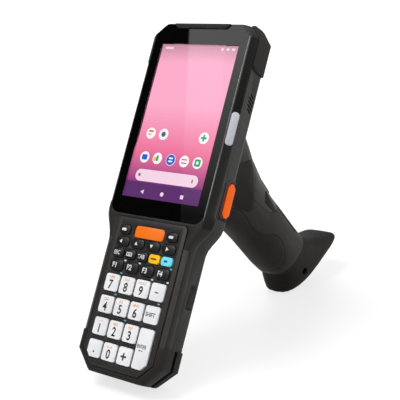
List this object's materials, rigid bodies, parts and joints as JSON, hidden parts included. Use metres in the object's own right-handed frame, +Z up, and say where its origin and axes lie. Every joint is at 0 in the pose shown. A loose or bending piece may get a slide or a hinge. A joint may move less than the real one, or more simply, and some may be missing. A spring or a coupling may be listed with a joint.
{
  "type": "portable barcode data terminal",
  "caption": "Handheld barcode terminal with a touch display, a full keypad, side scan keys, a back battery cover and a pistol grip with trigger.",
  "frame": {"origin": "on the table plane, in the middle of the bounding box in X and Y, with the terminal standing on the edge of its bottom bumper and the heel of its grip", "axes": "+Z up from the table, +X to the right as the keypad is read, the display facing -Y and leaning back, the grip behind it on the +Y side"},
  "size_m": [0.0784, 0.2192, 0.1874],
  "materials": {
    "housing_black": "fine grained moulding",
    "cover_glass": "polished, printed black behind its border",
    "display": "lit panel behind the glass",
    "silicone_grey": "matt silicone",
    "circuit_board": "solder mask over glass laminate",
    "rubber_black": "matt overmoulded rubber",
    "window_red": "polished dark red filter",
    "dark_plastic": "satin moulding",
    "side_key_grey": "satin moulding",
    "orange_key": "satin moulding",
    "battery_wrap": "plain plastic case",
    "frame_metal": "cast",
    "grip_black": "fine grained moulding",
    "steel": "turned and plated",
    "yellow_key": "satin moulding",
    "cyan_key": "satin moulding",
    "white_key": "satin moulding",
    "dark_key": "satin moulding"
  },
  "bodies": {
    "terminal": {"front_housing": "housing_black", "back_housing": "housing_black", "cover_glass": "cover_glass", "display_panel": "display", "keypad_bezel": "housing_black", "keypad_mat": "silicone_grey", "main_board": "circuit_board", "corner_bumpers": "rubber_black", "bottom_bumper": "rubber_black", "scan_window": "window_red", "scan_engine": "dark_plastic", "battery_pack": "battery_wrap", "grip_frame": "frame_metal", "grip_shell_left": "grip_black", "grip_shell_right": "grip_black", "palm_pad": "rubber_black", "front_strap": "rubber_black", "grip_foot": "rubber_black", "trigger_pin": "steel", "trigger_spring": "steel", "trigger_surround": "grip_black", "screws": "steel"},
    "side_key": {"side_key": "side_key_grey"},
    "scan_key_right": {"scan_key_right": "orange_key"},
    "scan_key_left": {"scan_key_left": "orange_key"},
    "port_cover": {"port_cover": "rubber_black"},
    "battery_cover": {"battery_cover": "housing_black"},
    "battery_latch": {"battery_latch": "dark_plastic"},
    "trigger": {"trigger": "dark_plastic"},
    "key_soft_left": {"key_soft_left": "dark_key"},
    "key_scan": {"key_scan": "orange_key"},
    "key_soft_right": {"key_soft_right": "dark_key"},
    "key_left": {"key_left": "dark_key"},
    "key_up": {"key_up": "dark_key"},
    "key_down": {"key_down": "dark_key"},
    "key_right": {"key_right": "dark_key"},
    "key_escape": {"key_escape": "dark_key"},
    "key_display": {"key_display": "dark_key"},
    "key_tab": {"key_tab": "dark_key"},
    "key_yellow": {"key_yellow": "yellow_key"},
    "key_cyan": {"key_cyan": "cyan_key"},
    "key_f1": {"key_f1": "dark_key"},
    "key_f2": {"key_f2": "dark_key"},
    "key_f3": {"key_f3": "dark_key"},
    "key_f4": {"key_f4": "dark_key"},
    "key_7": {"key_7": "white_key"},
    "key_8": {"key_8": "white_key"},
    "key_9": {"key_9": "white_key"},
    "key_minus": {"key_minus": "white_key"},
    "key_4": {"key_4": "white_key"},
    "key_5": {"key_5": "white_key"},
    "key_6": {"key_6": "white_key"},
    "key_shift": {"key_shift": "white_key"},
    "key_1": {"key_1": "white_key"},
    "key_2": {"key_2": "white_key"},
    "key_3": {"key_3": "white_key"},
    "key_enter": {"key_enter": "white_key"},
    "key_point": {"key_point": "white_key"},
    "key_0": {"key_0": "white_key"},
    "key_plus": {"key_plus": "white_key"}
  },
  "joints": [
    {"name": "trigger_swing", "type": "hinge", "parent": "terminal", "child": "trigger", "pos_m": [0, 0.01966, 0.08591], "axis": [-1, 0, 0], "range_deg": [0, 8], "stiffness_Nm_per_rad": 0.08, "springref_deg": -20.05, "deforming": ["trigger_spring"]},
    {"name": "battery_cover_hinge", "type": "hinge", "parent": "terminal", "child": "battery_cover", "pos_m": [0, -0.07934, 0.01977], "axis": [-1, 0, 0], "range_deg": [0, 60]},
    {"name": "battery_latch_slide", "type": "slide", "parent": "battery_cover", "child": "battery_latch", "axis": [0, -0.5221, -0.8529], "range_m": [0, 0.002]},
    {"name": "port_cover_hinge", "type": "hinge", "parent": "terminal", "child": "port_cover", "pos_m": [0.0298, -0.07543, 0.0434], "axis": [0, 0.8529, -0.5221], "range_deg": [0, 100]},
    {"name": "side_key_press", "type": "slide", "parent": "terminal", "child": "side_key", "axis": [-0.6872, 0.6196, -0.3793], "range_m": [0, 0.0004], "stiffness_N_per_m": 400, "springref_m": -0.001},
    {"name": "scan_key_right_press", "type": "slide", "parent": "terminal", "child": "scan_key_right", "axis": [-1, 0, 0], "range_m": [0, 0.0006], "stiffness_N_per_m": 400, "springref_m": -0.001},
    {"name": "scan_key_left_press", "type": "slide", "parent": "terminal", "child": "scan_key_left", "axis": [1, 0, 0], "range_m": [0, 0.0006], "stiffness_N_per_m": 400, "springref_m": -0.001},
    {"name": "key_soft_left_press", "type": "slide", "parent": "terminal", "child": "key_soft_left", "axis": [0, 0.8529, -0.5221], "range_m": [0, 0.0008], "stiffness_N_per_m": 250, "springref_m": -0.001},
    {"name": "key_scan_press", "type": "slide", "parent": "terminal", "child": "key_scan", "axis": [0, 0.8529, -0.5221], "range_m": [0, 0.0008], "stiffness_N_per_m": 250, "springref_m": -0.001},
    {"name": "key_soft_right_press", "type": "slide", "parent": "terminal", "child": "key_soft_right", "axis": [0, 0.8529, -0.5221], "range_m": [0, 0.0008], "stiffness_N_per_m": 250, "springref_m": -0.001},
    {"name": "key_left_press", "type": "slide", "parent": "terminal", "child": "key_left", "axis": [0, 0.8529, -0.5221], "range_m": [0, 0.0008], "stiffness_N_per_m": 250, "springref_m": -0.001},
    {"name": "key_up_press", "type": "slide", "parent": "terminal", "child": "key_up", "axis": [0, 0.8529, -0.5221], "range_m": [0, 0.0008], "stiffness_N_per_m": 250, "springref_m": -0.001},
    {"name": "key_down_press", "type": "slide", "parent": "terminal", "child": "key_down", "axis": [0, 0.8529, -0.5221], "range_m": [0, 0.0008], "stiffness_N_per_m": 250, "springref_m": -0.001},
    {"name": "key_right_press", "type": "slide", "parent": "terminal", "child": "key_right", "axis": [0, 0.8529, -0.5221], "range_m": [0, 0.0008], "stiffness_N_per_m": 250, "springref_m": -0.001},
    {"name": "key_escape_press", "type": "slide", "parent": "terminal", "child": "key_escape", "axis": [0, 0.8529, -0.5221], "range_m": [0, 0.0008], "stiffness_N_per_m": 250, "springref_m": -0.001},
    {"name": "key_display_press", "type": "slide", "parent": "terminal", "child": "key_display", "axis": [0, 0.8529, -0.5221], "range_m": [0, 0.0008], "stiffness_N_per_m": 250, "springref_m": -0.001},
    {"name": "key_tab_press", "type": "slide", "parent": "terminal", "child": "key_tab", "axis": [0, 0.8529, -0.5221], "range_m": [0, 0.0008], "stiffness_N_per_m": 250, "springref_m": -0.001},
    {"name": "key_yellow_press", "type": "slide", "parent": "terminal", "child": "key_yellow", "axis": [0, 0.8529, -0.5221], "range_m": [0, 0.0008], "stiffness_N_per_m": 250, "springref_m": -0.001},
    {"name": "key_cyan_press", "type": "slide", "parent": "terminal", "child": "key_cyan", "axis": [0, 0.8529, -0.5221], "range_m": [0, 0.0008], "stiffness_N_per_m": 250, "springref_m": -0.001},
    {"name": "key_f1_press", "type": "slide", "parent": "terminal", "child": "key_f1", "axis": [0, 0.8529, -0.5221], "range_m": [0, 0.0008], "stiffness_N_per_m": 250, "springref_m": -0.001},
    {"name": "key_f2_press", "type": "slide", "parent": "terminal", "child": "key_f2", "axis": [0, 0.8529, -0.5221], "range_m": [0, 0.0008], "stiffness_N_per_m": 250, "springref_m": -0.001},
    {"name": "key_f3_press", "type": "slide", "parent": "terminal", "child": "key_f3", "axis": [0, 0.8529, -0.5221], "range_m": [0, 0.0008], "stiffness_N_per_m": 250, "springref_m": -0.001},
    {"name": "key_f4_press", "type": "slide", "parent": "terminal", "child": "key_f4", "axis": [0, 0.8529, -0.5221], "range_m": [0, 0.0008], "stiffness_N_per_m": 250, "springref_m": -0.001},
    {"name": "key_7_press", "type": "slide", "parent": "terminal", "child": "key_7", "axis": [0, 0.8529, -0.5221], "range_m": [0, 0.0008], "stiffness_N_per_m": 250, "springref_m": -0.001},
    {"name": "key_8_press", "type": "slide", "parent": "terminal", "child": "key_8", "axis": [0, 0.8529, -0.5221], "range_m": [0, 0.0008], "stiffness_N_per_m": 250, "springref_m": -0.001},
    {"name": "key_9_press", "type": "slide", "parent": "terminal", "child": "key_9", "axis": [0, 0.8529, -0.5221], "range_m": [0, 0.0008], "stiffness_N_per_m": 250, "springref_m": -0.001},
    {"name": "key_minus_press", "type": "slide", "parent": "terminal", "child": "key_minus", "axis": [0, 0.8529, -0.5221], "range_m": [0, 0.0008], "stiffness_N_per_m": 250, "springref_m": -0.001},
    {"name": "key_4_press", "type": "slide", "parent": "terminal", "child": "key_4", "axis": [0, 0.8529, -0.5221], "range_m": [0, 0.0008], "stiffness_N_per_m": 250, "springref_m": -0.001},
    {"name": "key_5_press", "type": "slide", "parent": "terminal", "child": "key_5", "axis": [0, 0.8529, -0.5221], "range_m": [0, 0.0008], "stiffness_N_per_m": 250, "springref_m": -0.001},
    {"name": "key_6_press", "type": "slide", "parent": "terminal", "child": "key_6", "axis": [0, 0.8529, -0.5221], "range_m": [0, 0.0008], "stiffness_N_per_m": 250, "springref_m": -0.001},
    {"name": "key_shift_press", "type": "slide", "parent": "terminal", "child": "key_shift", "axis": [0, 0.8529, -0.5221], "range_m": [0, 0.0008], "stiffness_N_per_m": 250, "springref_m": -0.001},
    {"name": "key_1_press", "type": "slide", "parent": "terminal", "child": "key_1", "axis": [0, 0.8529, -0.5221], "range_m": [0, 0.0008], "stiffness_N_per_m": 250, "springref_m": -0.001},
    {"name": "key_2_press", "type": "slide", "parent": "terminal", "child": "key_2", "axis": [0, 0.8529, -0.5221], "range_m": [0, 0.0008], "stiffness_N_per_m": 250, "springref_m": -0.001},
    {"name": "key_3_press", "type": "slide", "parent": "terminal", "child": "key_3", "axis": [0, 0.8529, -0.5221], "range_m": [0, 0.0008], "stiffness_N_per_m": 250, "springref_m": -0.001},
    {"name": "key_enter_press", "type": "slide", "parent": "terminal", "child": "key_enter", "axis": [0, 0.8529, -0.5221], "range_m": [0, 0.0008], "stiffness_N_per_m": 250, "springref_m": -0.001},
    {"name": "key_point_press", "type": "slide", "parent": "terminal", "child": "key_point", "axis": [0, 0.8529, -0.5221], "range_m": [0, 0.0008], "stiffness_N_per_m": 250, "springref_m": -0.001},
    {"name": "key_0_press", "type": "slide", "parent": "terminal", "child": "key_0", "axis": [0, 0.8529, -0.5221], "range_m": [0, 0.0008], "stiffness_N_per_m": 250, "springref_m": -0.001},
    {"name": "key_plus_press", "type": "slide", "parent": "terminal", "child": "key_plus", "axis": [0, 0.8529, -0.5221], "range_m": [0, 0.0008], "stiffness_N_per_m": 250, "springref_m": -0.001}
  ]
}
